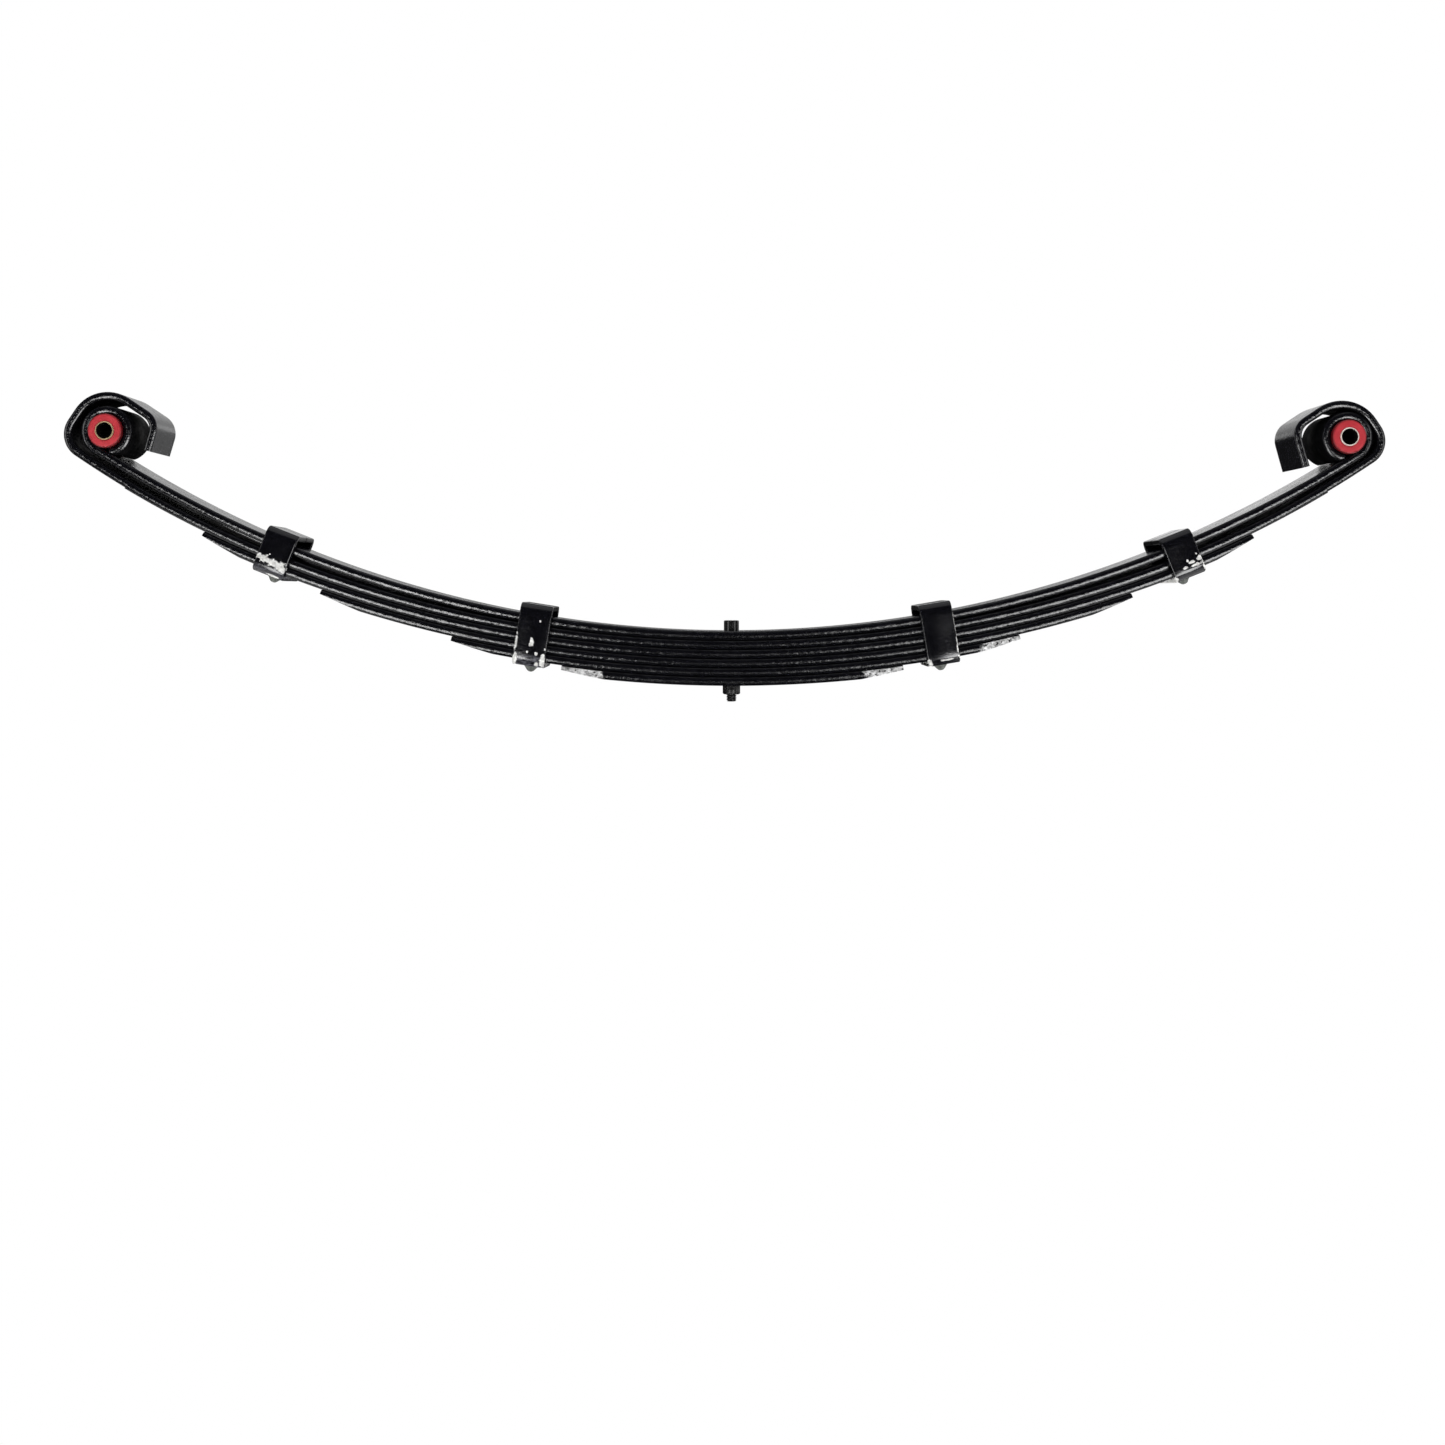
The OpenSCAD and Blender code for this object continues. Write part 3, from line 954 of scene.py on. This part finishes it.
def floor_mesh():
    """A floor that sweeps up into a wall behind the object."""
    rows = [(y, FLOOR_Z) for y in np.linspace(FLOOR_FRONT, WALL_Y - COVE_R, 6)]
    rows += arc_points(WALL_Y - COVE_R, FLOOR_Z + COVE_R, COVE_R, -math.pi / 2, 0, 16)[1:]
    rows += [(WALL_Y, WALL_TOP)]
    verts = [(x, y, z) for y, z in rows for x in (-FLOOR_HALF, FLOOR_HALF)]
    faces = [(2 * i, 2 * i + 1, 2 * i + 3, 2 * i + 2) for i in range(len(rows) - 1)]
    return mesh_object("floor", verts, faces)


def floor_material():
    m, _, b = new_material("floor_white")
    b.inputs["Base Color"].default_value = (0.86, 0.86, 0.86, 1)
    b.inputs["Roughness"].default_value = 0.9
    b.inputs["Specular IOR Level"].default_value = 0.1
    return m


def room_material():
    m, _, b = new_material("room_white")
    b.inputs["Base Color"].default_value = (0, 0, 0, 1)
    b.inputs["Specular IOR Level"].default_value = 0
    b.inputs["Emission Color"].default_value = (1, 1, 1, 1)
    b.inputs["Emission Strength"].default_value = 1.0
    m.cycles.emission_sampling = "NONE"
    return m


floor = floor_mesh()
floor.data.materials.append(floor_material())
floor.visible_glossy = floor.visible_camera = False

# a plain white dome that stands just above the floor and lights nothing
room_floor = FLOOR_Z + 1 * MM
dome = arc_points(0, FLOOR_Z, ROOM_R, 0, math.pi / 2, 24)[1:]
room = lathe("room", [(0, room_floor), (ROOM_R, room_floor)] + dome, (0, 0, 0), (0, 0, 1), closed=False)
room.data.materials.append(room_material())
room.visible_glossy = room.visible_diffuse = room.visible_shadow = room.visible_transmission = False

# ---------------------------------------------------------------- light


def area(name, place, target, size, size_y, power):
    data = bpy.data.lights.new(name, "AREA")
    data.shape = "RECTANGLE"
    data.size, data.size_y, data.energy = size, size_y, power
    o = bpy.data.objects.new(name, data)
    o.location = place
    o.rotation_euler = (Vector(target) - Vector(place)).to_track_quat("-Z", "Y").to_euler()
    o.visible_glossy = False
    bpy.context.scene.collection.objects.link(o)


area("top_soft", (0, 0.3, 2.6), (0, 0.5, 0), 5.0, 3.0, 150)
area("front_soft", (-0.4, -2.6, 1.5), (0, 0, 0.05), 3.0, 1.2, 14)
area("back_wash", (0, 1.2, 2.8), (0, 3.0, 0.4), 6.0, 1.0, 110)

world = bpy.data.worlds.new("studio")
bpy.context.scene.world = world
world.use_nodes = True
wn = world.node_tree
background = wn.nodes["Background"]
dx, dy, dz = split(wn, "Generated")


def shelf(source, low, high, soft):
    """1 between low and high, with soft edges."""
    up = maths(wn, "DIVIDE", less(wn, source, low - soft), soft, clamp=True)
    off = maths(wn, "DIVIDE", less(wn, high + soft, source), soft, clamp=True)
    return product(wn, up, off)


across = maths(wn, "ABSOLUTE", dx)
# a low strip in front, brighter to both sides of the middle
lamps = total(
    wn,
    product(wn, shelf(dx, -0.31, -0.23, 0.09), 16.0),
    shelf(dx, -0.43, -0.2, 0.06),
    product(wn, shelf(dx, 0.25, 0.44, 0.11), 10.0),
    product(wn, shelf(dx, 0.12, 0.50, 0.05), 2.0),
)
strip = product(wn, shelf(dz, -0.50, -0.13, 0.06), shelf(dy, -1.2, -0.74, 0.05), lamps)
# light from the floor under both ends
under = product(wn, shelf(dz, -2.0, -0.62, 0.1), shelf(across, 0.45, 2.0, 0.12), 1.2)
# a pale table behind, which goes on lower at the right, and narrow posts at the front corners
behind = shelf(dy, 0.3, 1.2, 0.25)
bands = total(wn, shelf(dz, 0.13, 0.165, 0.07), shelf(dz, 0.26, 0.5, 0.05))
table = product(wn, bands, behind, 0.75)
right = product(wn, shelf(dx, 0.22, 1.0, 0.08), shelf(dz, -0.15, 0.2, 0.1), behind, 0.45)
corners = product(wn, shelf(across, 0.72, 0.84, 0.04), shelf(dz, -0.25, 0.3, 0.1))
posts = product(wn, corners, shelf(dy, -1.2, -0.3, 0.2), 3.5)
top = product(wn, shelf(dz, 0.86, 1.2, 0.1), 0.5)
level = total(wn, 0.02, strip, under, table, right, posts, top)
wn.links.new(level, background.inputs["Strength"])
background.inputs["Color"].default_value = (1, 1, 1, 1)

# ---------------------------------------------------------------- camera

cam_data = bpy.data.cameras.new("camera")
cam = bpy.data.objects.new("camera", cam_data)
cam.location = (-0.0184, -1.782, 0.0334)
cam.rotation_euler = (math.pi / 2, 0, 0)
cam_data.sensor_width = 36
cam_data.lens = 47.0
cam_data.shift_x = 0.0073
cam_data.shift_y = -0.088
cam_data.clip_end = 50
bpy.context.scene.collection.objects.link(cam)
bpy.context.scene.camera = cam
bpy.context.scene.view_settings.view_transform = "Standard"
